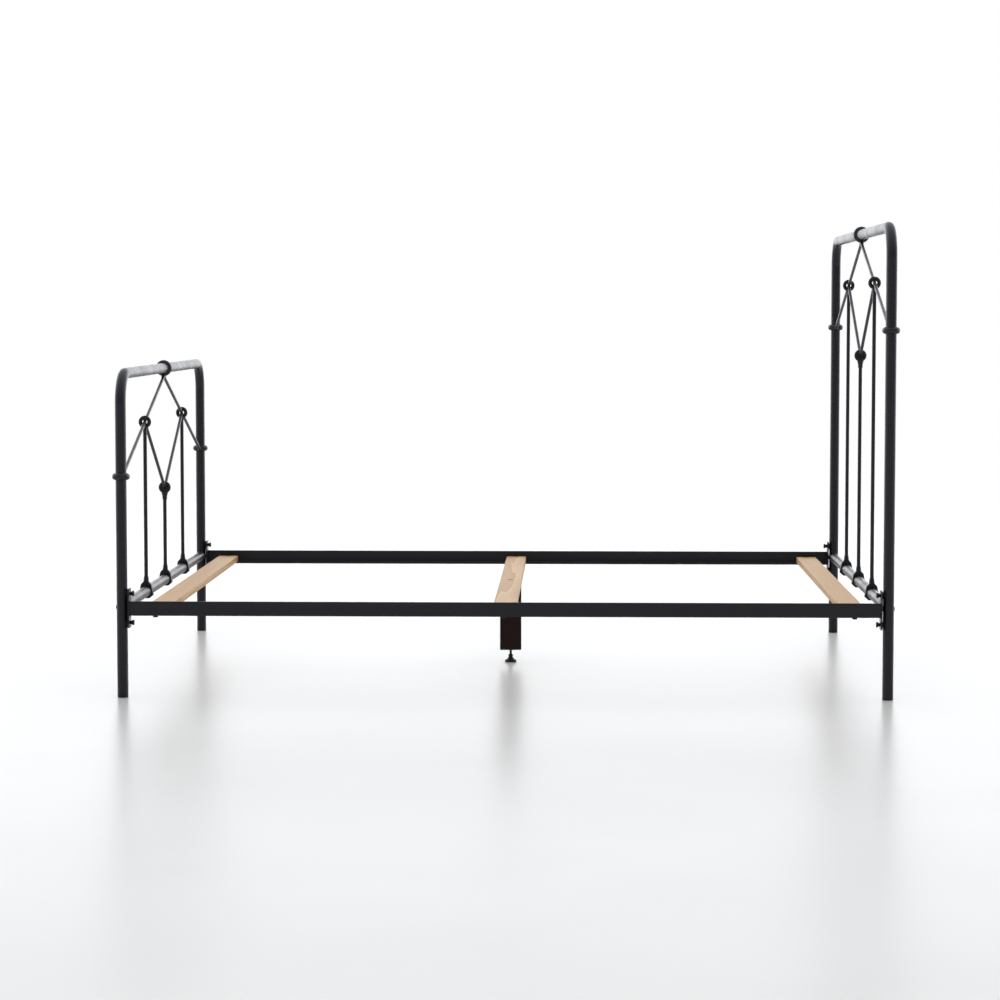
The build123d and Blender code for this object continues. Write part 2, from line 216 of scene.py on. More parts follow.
# %% Black oxide steel
def make_black_oxide():
    """Blackened steel with a rubbed mottle, for bolts and nuts."""
    material, tree, shader = new_finish("black_oxide_steel", Metallic=0.9)
    place = add_node(tree, "TexCoord").outputs["Object"]
    mottle = add_node(tree, "TexNoise", Vector=place, Scale=1 / (5 * mm), Detail=4.0)
    grain = add_node(tree, "TexNoise", Vector=place, Scale=1 / (0.8 * mm), Detail=1.0)
    colour = add_node(
        tree, "MixRGB", Fac=mottle.outputs["Fac"], Color1=linear("#1d1d1f"), Color2=linear("#39393c"))
    gloss = add_node(
        tree, "MapRange", Value=mottle.outputs["Fac"], From_Min=0.3, From_Max=0.7, To_Min=0.3, To_Max=0.48)
    dress(tree, shader, colour, gloss, grain.outputs["Fac"], 0.2, 0.05 * mm)
    return material


black_oxide = make_black_oxide()
print("finish:", black_oxide.name)

# %% [markdown]
# ## Bright zinc plate
#
# The threaded inserts are zinc plated, which leaves pale, slightly cloudy crystals a few millimetres
# across. They sit inside the posts and the leg, and show only where a bolt is out.

# %% Zinc plate
def make_zinc_plate():
    """Pale plate with faint crystals, for the inserts."""
    material, tree, shader = new_finish("bright_zinc_plate", Metallic=1.0)
    place = add_node(tree, "TexCoord").outputs["Object"]
    crystal = add_node(tree, "TexVoronoi", Vector=place, Scale=1 / (3 * mm))
    cloud = add_node(tree, "TexNoise", Vector=place, Scale=1 / (4 * mm), Detail=2.0)
    colour = add_node(
        tree, "MixRGB", Fac=crystal.outputs["Distance"], Color1=linear("#d6d7d4"), Color2=linear("#b4b6b4"))
    gloss = add_node(
        tree, "MapRange", Value=cloud.outputs["Fac"], From_Min=0.3, From_Max=0.7, To_Min=0.22, To_Max=0.4)
    dress(tree, shader, colour, gloss, cloud.outputs["Fac"], 0.2, 0.1 * mm)
    return material


zinc_plate = make_zinc_plate()
print("finish:", zinc_plate.name)

# %% [markdown]
# ## Moulded black plastic
#
# The glides, the saddle spacers and the leveller's base are injection moulded. Their moulds are spark
# eroded, which prints a fine even grain on the plastic and takes the shine off. Such grain is 0.2 mm
# across and is drawn at 1 mm. The face that rubs the floor is dustier than the rest.

# %% Black plastic
def make_black_plastic():
    """Grained plastic, dusty where it meets the floor."""
    material, tree, shader = new_finish("moulded_black_polyamide", IOR=1.46)
    place = add_node(tree, "TexCoord").outputs["Object"]
    grain = add_node(tree, "TexNoise", Vector=place, Scale=1 / (1 * mm), Detail=2.0)
    height = add_node(tree, "SeparateXYZ", Vector=place)
    scuffed = add_node(
        tree, "MapRange", Value=height.outputs["Z"], From_Min=0.0, From_Max=4 * mm, To_Min=1.0, To_Max=0.0)
    colour = add_node(
        tree, "MixRGB", Fac=scuffed.outputs[0], Color1=linear("#151516"), Color2=linear("#2a2928"))
    gloss = add_node(
        tree, "MapRange", Value=grain.outputs["Fac"], From_Min=0.3, From_Max=0.7, To_Min=0.42, To_Max=0.6)
    dress(tree, shader, colour, gloss, grain.outputs["Fac"], 0.35, 0.15 * mm)
    return material


black_plastic = make_black_plastic()
print("finish:", black_plastic.name)

# %% [markdown]
# ## Wood
#
# A board is a slice through a tree's rings. A ring pattern stretched twenty times along the grain and
# bent by slow noise gives long bands, close at one edge and wide in the middle. Fibres run the same
# way: a second noise, stretched further, darkens thin pores and gives the surface its fine ridges.
# `along` is the axis that the grain follows: a slat's runs across the bed, the leg's stands upright.
# The rings' middle is put beside the board, so that the bands are cut off centre as in a sawn board.
# Pine has a small dark knot every so often, where a branch ran right through the board: a cell pattern
# flattened in height gives one round spot to a cell, the same on both faces.

# %% Wood
def make_wood(name, along, pale, dark, pore, ring, shine, knot_gap):
    """Wood with rings, pores and, if a gap between them is given, knots."""
    material, tree, shader = new_finish(name, IOR=1.5, Specular_IOR_Level=shine)
    axis = "XYZ".index(along)
    place = add_node(tree, "TexCoord").outputs["Object"]
    board = add_node(
        tree, "Mapping", Vector=place,
        Location=[0.0 if i == axis else 35 * mm for i in range(3)],
        Scale=[0.05 if i == axis else 1.0 for i in range(3)])
    drift = add_node(tree, "TexNoise", Vector=board.outputs[0], Scale=1 / (60 * mm), Detail=2.0)
    bent = add_node(
        tree, "MixRGB", {"blend_type": "LINEAR_LIGHT"},
        Fac=0.012, Color1=board.outputs[0], Color2=drift.outputs["Color"])
    rings = add_node(
        tree, "TexWave", {"wave_type": "RINGS", "rings_direction": along, "wave_profile": "SAW"},
        Vector=bent.outputs[0], Scale=0.314 / ring, Distortion=2.0, Detail=2.0, Detail_Scale=0.6)
    fibre = add_node(
        tree, "Mapping", Vector=place,
        Scale=[0.04 if i == axis else 1.0 for i in range(3)])
    fibres = add_node(
        tree, "TexNoise", Vector=fibre.outputs[0], Scale=1 / (1.6 * mm), Detail=4.0, Roughness=0.6)
    bands = add_node(
        tree, "MixRGB", Fac=rings.outputs["Fac"], Color1=linear(pale), Color2=linear(dark))
    pores = add_node(
        tree, "MapRange", Value=fibres.outputs["Fac"], From_Min=0.52, From_Max=0.72, To_Min=0.0, To_Max=0.55)
    colour = add_node(
        tree, "MixRGB", Fac=pores.outputs[0], Color1=bands.outputs[0], Color2=linear(pore))
    if knot_gap:
        through = add_node(tree, "Mapping", Vector=place, Scale=(1.0, 0.35, 0.0))
        knots = add_node(tree, "TexVoronoi", Vector=through.outputs[0], Scale=1 / knot_gap)
        core = add_node(
            tree, "MapRange", {"interpolation_type": "SMOOTHSTEP"}, Value=knots.outputs["Distance"],
            From_Min=3 * mm / knot_gap, From_Max=7 * mm / knot_gap, To_Min=0.85, To_Max=0.0)
        colour = add_node(
            tree, "MixRGB", Fac=core.outputs[0], Color1=colour.outputs[0], Color2=linear(pore))
    sheen = add_node(
        tree, "MapRange", Value=fibres.outputs["Fac"], From_Min=0.3, From_Max=0.7, To_Min=0.5, To_Max=0.65)
    dress(tree, shader, colour, sheen, fibres.outputs["Fac"], 0.3, 0.15 * mm)
    return material


slat_wood = make_wood(
    "planed_pine", "Y", pale="#d2ad7c", dark="#b78a56", pore="#8f6337",
    ring=7 * mm, shine=0.45, knot_gap=150 * mm)
leg_wood = make_wood(
    "dark_stained_hardwood", "Z", pale="#2c100b", dark="#1a0805", pore="#0a0302",
    ring=4 * mm, shine=0.25, knot_gap=None)
print("finishes:", slat_wood.name, leg_wood.name)

# %% [markdown]
# ## Finishes on the CAD pieces
#
# Each CAD piece names the slot its finish belongs to, so the whole model is dressed in one loop. The
# pieces that are replaced further down take the same finishes.

# %% Dress the CAD pieces
finishes = {
    "powder_coat": powder_coat,
    "painted_casting": painted_casting,
    "black_hardware": black_oxide,
    "zinc_steel": zinc_plate,
    "black_plastic": black_plastic,
    "slat_wood": slat_wood,
    "leg_wood": leg_wood,
}
slot_of = {part["node"]: part["material_slot"] for part in frame["record"]["subparts"]}
for name, obj in nodes.items():
    obj.data.materials.clear()
    obj.data.materials.append(finishes[slot_of[name]])
print("dressed:", len(nodes), "pieces in", len(finishes), "finishes")

# %% [markdown]
# ## Tools for the new pieces
#
# The CAD solids are exact but bare. Where the real piece has a cast skin, a rolled or eased edge, a
# chamfered nut or a screw thread, a new piece is made and the plain solid is hidden behind it.
# A CAD mesh is loose triangles, so a copy is welded and its flat faces are joined before it is worked.
# Every piece ends in the same place: doubles merged, faces turned outward, smooth shading broken at
# the sharp edges, and its finish and body named.

# %% Tools for pieces
def copy_of(node):
    """A welded copy of a CAD node, its flat faces joined."""
    bm = bmesh.new()
    bm.from_mesh(nodes[node].data)
    bmesh.ops.remove_doubles(bm, verts=bm.verts, dist=0.005 * mm)
    bmesh.ops.dissolve_limit(bm, angle_limit=math.radians(0.5), verts=bm.verts, edges=bm.edges)
    return bm


def solids_of(node):
    """The low and high corners of each separate solid in a CAD node."""
    bm = copy_of(node)
    waiting = set(bm.verts)
    corners = []
    while waiting:
        reached = [waiting.pop()]
        for vert in reached:
            for edge in vert.link_edges:
                other = edge.other_vert(vert)
                if other in waiting:
                    waiting.remove(other)
                    reached.append(other)
        spread = [[vert.co[i] for vert in reached] for i in range(3)]
        corners.append((Vector(map(min, spread)), Vector(map(max, spread))))
    bm.free()
    return corners


def to_mesh(bm, name):
    """Ends a bmesh: a closed mesh with its faces outward."""
    bmesh.ops.remove_doubles(bm, verts=bm.verts, dist=0.004 * mm)
    bmesh.ops.recalc_face_normals(bm, faces=bm.faces)
    mesh = bpy.data.meshes.new(name)
    bm.to_mesh(mesh)
    bm.free()
    return mesh


def place_piece(mesh, name, body, slot, *replaced):
    """Puts a finished mesh in the scene as a piece of the model."""
    mesh.shade_smooth()
    mesh.set_sharp_from_angle(angle=math.radians(35))
    mesh.materials.clear()
    mesh.materials.append(finishes[slot])
    piece = bpy.data.objects.new(name, mesh)
    bpy.context.scene.collection.objects.link(piece)
    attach(piece, body)
    if replaced:
        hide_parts(*replaced)


def add_shape(bm, shape, turn, place):
    """Turns a shape, moves it to its place and adds it to another bmesh."""
    bmesh.ops.transform(shape, matrix=Matrix.Translation(place) @ turn.to_4x4(), verts=shape.verts)
    mesh = bpy.data.meshes.new("shape")
    shape.to_mesh(mesh)
    shape.free()
    bm.from_mesh(mesh)
    bpy.data.meshes.remove(mesh)


def worked(mesh, **modifiers):
    """The mesh as it comes out of some modifiers, each given as TYPE={setting: value}."""
    blank = bpy.data.objects.new("blank", mesh)
    bpy.context.scene.collection.objects.link(blank)
    for kind, settings in modifiers.items():
        modifier = blank.modifiers.new(kind, kind)
        for name, value in settings.items():
            setattr(modifier, name, value)
    graph = bpy.context.evaluated_depsgraph_get()
    result = bpy.data.meshes.new_from_object(blank.evaluated_get(graph))
    bpy.data.objects.remove(blank)
    return result


upright = Matrix.Identity(3)

# %% [markdown]
# ## Casting
#
# Molten iron fills every inner corner and leaves no sharp edge. A casting is built up roughly from
# overlapping rings, discs and cones, then a voxel remesh wraps one skin round them all and a few rounds
# of smoothing run the skin into soft fillets. Voxels of 0.7 mm keep the shape to well under a millimetre.
# A rod comes out of a casting through a short cone of metal, a little wider than the rod at its end.

# %% Casting tools
voxel = 0.7 * mm
lip = 0.3 * mm


def place_casting(bm, name, rounds, node):
    """Wraps one smooth skin round everything in a bmesh, and puts it in place of a CAD node."""
    skin = worked(to_mesh(bm, name), REMESH={"mode": "VOXEL", "voxel_size": voxel})
    bm = bmesh.new()
    bm.from_mesh(skin)
    for _ in range(rounds):
        bmesh.ops.smooth_vert(
            bm, verts=bm.verts, factor=0.5, use_axis_x=True, use_axis_y=True, use_axis_z=True)
    place_piece(to_mesh(bm, name), name, "frame", "painted_casting", node)


def add_cone(bm, start, stop, start_r, stop_r):
    """A cone or, with equal radii, a round bar from one point to another."""
    shape = bmesh.new()
    run = stop - start
    bmesh.ops.create_cone(
        shape, cap_ends=True, segments=40, radius1=start_r, radius2=stop_r, depth=run.length)
    add_shape(bm, shape, run.to_track_quat("Z", "Y").to_matrix(), (start + stop) / 2)


def add_ring(bm, middle, ring_r, section_r):
    """A round-section ring whose axis runs across the bed."""
    shape = bmesh.new()
    bmesh.ops.create_circle(shape, segments=32, radius=section_r)
    bmesh.ops.translate(shape, vec=(ring_r, 0, 0), verts=shape.verts)
    bmesh.ops.spin(
        shape, geom=shape.verts[:] + shape.edges[:], cent=(0, 0, 0), axis=(0, 1, 0),
        angle=math.tau, steps=72, use_merge=True)
    add_shape(bm, shape, upright, middle)


print("voxels:", round(voxel / mm, 2), "mm")

# %% [markdown]
# ## Rods and where they run
#
# The castings need to know how the rods come into them. Each outer diagonal runs straight from the
# bottom of the top collar through its knuckle, and each inner diagonal from there to the centre
# knuckle. A knuckle's ring is as wide as its box and as deep as its section.

# %% Panel layout
def layout(end):
    """The places and directions that one end panel's castings need."""
    knuckles = {side: middle_of(f"{end}_knuckle_{side}") for side in sides}
    low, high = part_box(f"{end}_knuckle_centre")
    outer_r = size_of(f"{end}_knuckle_centre").x / 2
    section_r = size_of(f"{end}_knuckle_left").y / 2
    knuckles["centre"] = Vector((middle_of(f"{end}_knuckle_centre").x, 0, high.z - outer_r))
    start = Vector((knuckles["centre"].x, 0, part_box(f"{end}_top_collar")[0].z))
    ups = {side: (start - knuckles[side]).normalized() for side in sides}
    return {
        "knuckles": knuckles, "ups": ups, "neck_foot": low.z, "outer_r": outer_r,
        "ring_r": outer_r - section_r, "section_r": section_r,
    }


layouts = {end: layout(end) for end in ends}
rod_r = size_of("head_outer_diagonal_left").x / 2
spindle_r = size_of("head_spindle_left").x / 2
print("rods:", round(rod_r / mm, 2), "mm, spindles:", round(spindle_r / mm, 2), "mm")

# %% [markdown]
# ## Collars
#
# A collar is a half-round bead cast on the tube. Its section is half of a circle with a small foot
# where the paint runs on to the tube, spun once round. The section goes a little way into the tube's
# wall, so that no gap shows at the foot. The mould opens in two halves, and leaves a fine ridge along
# the bead where they met.

# %% Collars
def add_bead(bm, middle, along, bead_r):
    """A collar's bead round a tube that runs along the given direction."""
    shape = bmesh.new()
    bmesh.ops.create_circle(shape, segments=48, radius=bead_r)
    bmesh.ops.delete(shape, geom=[v for v in shape.verts if v.co.x < -0.01 * mm], context="VERTS")
    ends_of_arc = [v for v in shape.verts if v.co.x < 0.01 * mm]
    feet = bmesh.ops.extrude_vert_indiv(shape, verts=ends_of_arc)["verts"]
    for foot in feet:
        foot.co.y += math.copysign(1.6 * mm, foot.co.y)
    bmesh.ops.bevel(
        shape, geom=ends_of_arc, offset=1.3 * mm, affect="VERTICES", segments=4, profile=0.5, material=-1)
    tips = sorted(shape.verts, key=lambda v: v.co.y)
    roots = bmesh.ops.extrude_vert_indiv(shape, verts=[tips[0], tips[-1]])["verts"]
    bmesh.ops.translate(shape, vec=(-1.5 * mm, 0, 0), verts=roots)
    shape.edges.new(roots)
    bmesh.ops.translate(shape, vec=(tube_r + 0.1 * mm, 0, 0), verts=shape.verts)
    bmesh.ops.spin(
        shape, geom=shape.verts[:] + shape.edges[:], cent=(0, 0, 0), axis=(0, 1, 0),
        angle=math.tau, steps=96, use_merge=True)
    ridge = 0.5 * mm
    for vert in shape.verts:
        if abs(vert.co.z) < 0.01 * mm and abs(vert.co.x) > tube_r + 1 * mm:
            outward = vert.co - Vector((math.copysign(tube_r, vert.co.x), 0, 0))
            vert.co += outward.normalized() * ridge
    add_shape(bm, shape, along.to_track_quat("Y", "Z").to_matrix(), middle)


for end in ends:
    place = layouts[end]
    node = f"{end}_top_collar"
    bead_r = size_of(node).x / 2 - tube_r
    bm = bmesh.new()
    add_bead(bm, middle_of(node), Vector((0, 1, 0)), bead_r)
    low = middle_of(node) - Vector((0, 0, tube_r + bead_r - 2 * mm))
    for side in sides:
        add_cone(bm, low, low - place["ups"][side] * 20 * mm, rod_r + 2.5 * mm, rod_r + lip)
    place_casting(bm, node + "_casting", 4, node)
    for side in sides:
        node = f"{end}_post_collar_{side}"
        middle = middle_of(node)
        bm = bmesh.new()
        add_bead(bm, middle, Vector((0, 0, 1)), bead_r)
        knuckle = place["knuckles"][side]
        up = place["ups"][side]
        bead_face = abs(middle.y) - tube_r - 6 * mm
        near = knuckle + up * ((bead_face - abs(knuckle.y)) / -abs(up.y))
        add_cone(bm, near, near + up * 12 * mm, rod_r + 2.2 * mm, rod_r + lip)
        place_casting(bm, node + "_casting", 4, node)
print("collars:", 3 * len(ends))

# %% [markdown]
# ## Knuckles
#
# A side knuckle is a ring that the outer diagonal runs through. Webs above and below hold the rods,
# and light shows through the gap on each side. The centre knuckle's ring is closed by a disc, and
# its foot narrows to the spindle in a long neck.

# %% Knuckles
def add_knuckle_ring(bm, place, middle):
    """The ring of a knuckle and the webs inside it."""
    add_ring(bm, middle, place["ring_r"], place["section_r"])
    web = Vector((0, 0, place["ring_r"]))
    add_cone(bm, middle - web, middle + web, 4.2 * mm, 4.2 * mm)


for end in ends:
    place = layouts[end]
    centre = place["knuckles"]["centre"]
    for side in sides:
        node = f"{end}_knuckle_{side}"
        middle = place["knuckles"][side]
        bm = bmesh.new()
        add_knuckle_ring(bm, place, middle)
        down = Vector((0, 0, -1))
        add_cone(
            bm, middle + down * place["ring_r"], middle + down * (place["outer_r"] + 5 * mm),
            spindle_r + 2.2 * mm, spindle_r + lip)
        place_casting(bm, node + "_casting", 4, node)
    node = f"{end}_knuckle_centre"
    bm = bmesh.new()
    add_knuckle_ring(bm, place, centre)
    disc = Vector((0, 3.2 * mm, 0))
    add_cone(bm, centre - disc, centre + disc, place["ring_r"], place["ring_r"])
    neck_top = centre - Vector((0, 0, place["ring_r"]))
    neck_foot = Vector((centre.x, centre.y, place["neck_foot"]))
    waist = neck_top.lerp(neck_foot, 0.55)
    waist_r = 7.4 * mm
    add_cone(bm, waist, neck_top, waist_r, 10.5 * mm)
    add_cone(bm, neck_foot, waist + Vector((0, 0, 0.5 * mm)), 7.0 * mm, waist_r)
    for side in sides:
        rod = (place["knuckles"][side] - centre).normalized()
        add_cone(bm, centre, centre + rod * 17 * mm, rod_r + 2 * mm, rod_r + lip)
    place_casting(bm, node + "_casting", 5, node)
print("knuckles:", 3 * len(ends))

# %% [markdown]
# ## Spindle shoes
#
# The shoes are angular castings that clasp the crossbar, one under each spindle. Their CAD shape is
# right, but a casting has no knife edges: a copy goes through the same skin and smoothing.

# %% Shoes
for end in ends:
    node = f"{end}_spindle_shoes"
    place_casting(copy_of(node), node + "_castings", 3, node)
print("shoes:", len(solids_of("head_spindle_shoes")), "an end")

# %% [markdown]
# ## Eased edges
#
# Rolled angle, punched plate and sawn timber all lose their sharp edges, the steel in rolling and
# deburring, the timber under a sander. A narrow rounded bevel on the long edges of a welded copy
# catches a thin line of light, which is what makes an edge look solid. Edges shorter than a given
# length, round the drilled holes, are left as they are. The broad faces are shaded flat, and only
# the narrow ones, on the bevels, are shaded smooth.

# %% Eased pieces
def ease(node, radius, shortest):
    """A copy of a CAD node with its longer sharp edges rounded."""
    bm = copy_of(node)
    edges = [
        e for e in bm.edges
        if len(e.link_faces) == 2 and e.calc_face_angle() > math.radians(50) and e.calc_length() > shortest]
    bmesh.ops.bevel(
        bm, geom=edges, offset=radius, affect="EDGES", segments=3, profile=0.5, material=-1,
        clamp_overlap=True)
    mesh = to_mesh(bm, node + "_eased")
    place_piece(mesh, node + "_eased", "frame", slot_of[node], node)
    for face in mesh.polygons:
        edge_run = sum((mesh.vertices[a].co - mesh.vertices[b].co).length for a, b in face.edge_keys)
        face.use_smooth = 2 * face.area < 3 * mm * edge_run


for side in sides:
    ease(f"side_rail_{side}", 0.7 * mm, 30 * mm)
    for end in ends:
        ease(f"rail_plate_{end}_{side}", 0.5 * mm, 20 * mm)
for place_name in ("foot", "middle", "head"):
    ease(f"slat_{place_name}", 2.5 * mm, 15 * mm)
ease("centre_leg", 2 * mm, 30 * mm)
print("eased pieces ready")

# %% [markdown]
# ## Bolts and nuts
#
# A hex head is a six-sided prism whose corners are turned off by a cone, which leaves a curved line
# on every flat. That cut is a Boolean intersection of the prism and the cone. The same blank, bored
# through and turned at both ends, is a nut.

# %% Hexagons
def hexagon(flats, height):
    """A six-sided prism standing on the origin."""
    bm = bmesh.new()
    corner_r = flats / math.sqrt(3)
    bmesh.ops.create_cone(
        bm, cap_ends=True, segments=6, radius1=corner_r, radius2=corner_r, depth=height)
    bmesh.ops.translate(bm, vec=(0, 0, height / 2), verts=bm.verts)
    return to_mesh(bm, "hexagon")


def cut(mesh, tool, operation):
    """The Boolean of two meshes."""
    cutter = bpy.data.objects.new("cutter", tool)
    bpy.context.scene.collection.objects.link(cutter)
    result = worked(mesh, BOOLEAN={"operation": operation, "object": cutter, "solver": "EXACT"})
    bpy.data.objects.remove(cutter)
    return result


def turned(flats, height, both_ends):
    """A hexagon with its corners turned off at the top, or at both ends."""
    top_r = 0.475 * flats
    cone_height = 1.2 * height
    foot_r = top_r + cone_height * math.tan(math.radians(60))
    mesh = hexagon(flats, height)
    for up in ((1, -1) if both_ends else (1,)):
        bm = bmesh.new()
        bmesh.ops.create_cone(
            bm, cap_ends=True, segments=64, radius1=foot_r, radius2=top_r, depth=cone_height)
        bmesh.ops.translate(bm, vec=(0, 0, height - cone_height / 2), verts=bm.verts)
        if up < 0:
            over = Matrix.Rotation(math.pi, 3, "X")
            bmesh.ops.rotate(bm, cent=(0, 0, height / 2), matrix=over, verts=bm.verts)
        mesh = cut(mesh, to_mesh(bm, "cone"), "INTERSECT")
    return mesh


def add_mesh(bm, mesh, turn, place):
    """Adds a mesh to a bmesh at a place."""
    shape = bmesh.new()
    shape.from_mesh(mesh)
    add_shape(bm, shape, turn, place)


bolt_r = 3.95 * mm
bolt_flats = 13 * mm
print("M8 bolts:", round(2 * bolt_r / mm, 2), "mm, flats:", round(bolt_flats / mm, 2), "mm")

# %% [markdown]
# ## Screw threads
#
# A thread is one tooth's outline wound round the axis. `spin` climbs one pitch a turn, so each turn's
# top edge lands on the next one's bottom edge, and merging the doubles joins them into one surface.

# %% Threads
def add_thread(bm, axis, low, high, thread_r, pitch):
    """A right-hand thread on an upright axis, between two heights."""
    shape = bmesh.new()
    root_r = thread_r - 0.61 * pitch
    outline = ((root_r, 0), (root_r, 0.125), (thread_r, 0.44), (thread_r, 0.56), (root_r, 0.875), (root_r, 1))
    chain = [shape.verts.new((r, 0, rise * pitch)) for r, rise in outline]
    for first, second in zip(chain, chain[1:]):
        shape.edges.new((first, second))
    steps = 28
    turns = int((high - low) / pitch) - 1
    bmesh.ops.spin(
        shape, geom=shape.verts[:] + shape.edges[:], cent=(0, 0, 0), axis=(0, 0, 1),
        dvec=(0, 0, pitch / steps), angle=math.tau * turns, steps=steps * turns)
    bmesh.ops.remove_doubles(shape, verts=shape.verts, dist=0.01 * mm)
    bmesh.ops.holes_fill(shape, edges=[e for e in shape.edges if e.is_boundary], sides=0)
    bmesh.ops.recalc_face_normals(shape, faces=shape.faces)
    add_shape(bm, shape, upright, Vector((axis.x, axis.y, low)))


pitch = 1.25 * mm
print("thread pitch:", round(pitch / mm, 2), "mm")

# %% [markdown]
# ## Rail bolts
#
# Two M8 hex bolts hold each end of a rail, with 13 mm across flats. The head has a thin washer face
# under it, and a plain shoulder holds it 6 mm off the plate.

# %% Rail bolts
head_height = 5.5 * mm
washer_face = 0.5 * mm
shoulder = 6 * mm
overlap = 1 * mm
head_mesh = turned(bolt_flats, head_height, False)
bm = bmesh.new()
for low, high in solids_of("rail_bolts"):
    sign = math.copysign(1, low.x)
    top = min((low, high), key=lambda corner: abs(corner.x)).x
    tip = max((low, high), key=lambda corner: abs(corner.x)).x
    axis = Vector((0, (low.y + high.y) / 2, (low.z + high.z) / 2))
    outward = Vector((-sign, 0, 0))
    seat = axis + Vector((top, 0, 0)) - outward * head_height
    turn = outward.to_track_quat("Z", "Y").to_matrix()
    add_mesh(bm, head_mesh, turn, seat)
    add_cone(bm, seat, seat + outward * washer_face, 7.3 * mm, 7.3 * mm)
    add_cone(bm, seat - outward * shoulder, seat + outward * overlap, 5 * mm, 5 * mm)
    add_cone(bm, axis + Vector((tip, 0, 0)), seat + outward * overlap, bolt_r - 0.6 * mm, bolt_r)
place_piece(to_mesh(bm, "rail_bolts_hex"), "rail_bolts_hex", "frame", "black_hardware", "rail_bolts")
print("rail bolts:", len(solids_of("rail_bolts")))

# %% [markdown]
# ## Slat bolts and nuts
#
# The slats are held by domed connector bolts sunk in the wood, with a hexagon socket for the key, and
# by nuts below the rail, where a few turns of thread stand out.

# %% Slat bolts and nuts
def socket_head(head_r, height, key):
    """A domed head standing on the origin, with a hexagon socket."""
    bm = bmesh.new()
    bmesh.ops.create_cone(
        bm, cap_ends=True, segments=64, radius1=head_r, radius2=head_r, depth=height)
    bmesh.ops.translate(bm, vec=(0, 0, height / 2), verts=bm.verts)
    rim = [e for e in bm.edges if min(v.co.z for v in e.verts) > 0.9 * height]
    bmesh.ops.bevel(
        bm, geom=rim, offset=0.85 * height, affect="EDGES", segments=6, profile=0.5, material=-1)
    hole = hexagon(key, height)
    hole.transform(Matrix.Translation((0, 0, 0.35 * height)))
    return cut(to_mesh(bm, "dome"), hole, "DIFFERENCE")


dome_height = 3.5 * mm
thread_length = 14 * mm
dome_mesh = socket_head(9 * mm, dome_height, 5 * mm)
bm = bmesh.new()
for low, high in solids_of("slat_bolts"):
    axis = Vector(((low.x + high.x) / 2, (low.y + high.y) / 2, 0))
    seat = axis + Vector((0, 0, high.z - dome_height))
    shank_foot = axis + Vector((0, 0, low.z + thread_length - 2 * mm))
    add_mesh(bm, dome_mesh, upright, seat)
    add_thread(bm, axis, low.z, low.z + thread_length, bolt_r, pitch)
    add_cone(bm, shank_foot, seat + Vector((0, 0, 0.5 * mm)), bolt_r, bolt_r)
place_piece(to_mesh(bm, "slat_bolts_domed"), "slat_bolts_domed", "frame", "black_hardware", "slat_bolts")

nut_height = size_of("slat_nuts").z
bore = bmesh.new()
bmesh.ops.create_cone(
    bore, cap_ends=True, segments=48, radius1=bolt_r, radius2=bolt_r, depth=4 * nut_height)
nut_mesh = cut(turned(bolt_flats, nut_height, True), to_mesh(bore, "bore"), "DIFFERENCE")
bm = bmesh.new()
for low, high in solids_of("slat_nuts"):
    add_mesh(bm, nut_mesh, upright, Vector(((low.x + high.x) / 2, (low.y + high.y) / 2, low.z)))
place_piece(to_mesh(bm, "slat_nuts_hex"), "slat_nuts_hex", "frame", "black_hardware", "slat_nuts")
print("slat bolts:", len(solids_of("slat_bolts")), "nuts:", len(solids_of("slat_nuts")))

# %% [markdown]
# ## Leveller
#
# The centre leg stands on a screw foot. The stem is an M8 thread with a hexagon pressed on for a
# spanner, flared below where it meets the foot, and its ball turns in a moulded base. Both keep the
# places that the joints need: the stem turns in the base, and the base moves up and down with it.

# %% Leveller stem
stem_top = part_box("leveller_stem")[1].z
axis = Vector((middle_of("leveller_base").x, middle_of("leveller_base").y, 0))
hex_low = 18 * mm
hex_top = 23 * mm
flare_low = 15.3 * mm
ball_z = 10 * mm
bm = bmesh.new()
add_mesh(bm, turned(14 * mm, hex_top - hex_low, True), upright, axis + Vector((0, 0, hex_low)))
add_cone(
    bm, axis + Vector((0, 0, flare_low)), axis + Vector((0, 0, hex_low + 0.3 * mm)), 6.8 * mm, 5.2 * mm)
add_cone(
    bm, axis + Vector((0, 0, ball_z - 1 * mm)), axis + Vector((0, 0, hex_top + 2 * mm)), bolt_r, bolt_r)
add_thread(bm, axis, hex_top + 0.6 * mm, stem_top, bolt_r, pitch)
ball = bmesh.new()
bmesh.ops.create_uvsphere(ball, u_segments=32, v_segments=20, radius=5 * mm)
add_shape(bm, ball, upright, axis + Vector((0, 0, ball_z)))
name = "leveller_stem_threaded"
place_piece(to_mesh(bm, name), name, "leveller_stem", "black_hardware", "leveller_stem")
print("thread turns:", int((stem_top - hex_top) / pitch))

# %% [markdown]
# ## Leveller's base
#
# The base is turned by `spin` from half of its section: a flat foot with a step under it, an upright
# rim, and a slope that rises to a lip round the ball. Rounding the corners of the section before the
# spin rounds every edge of the finished foot at once.

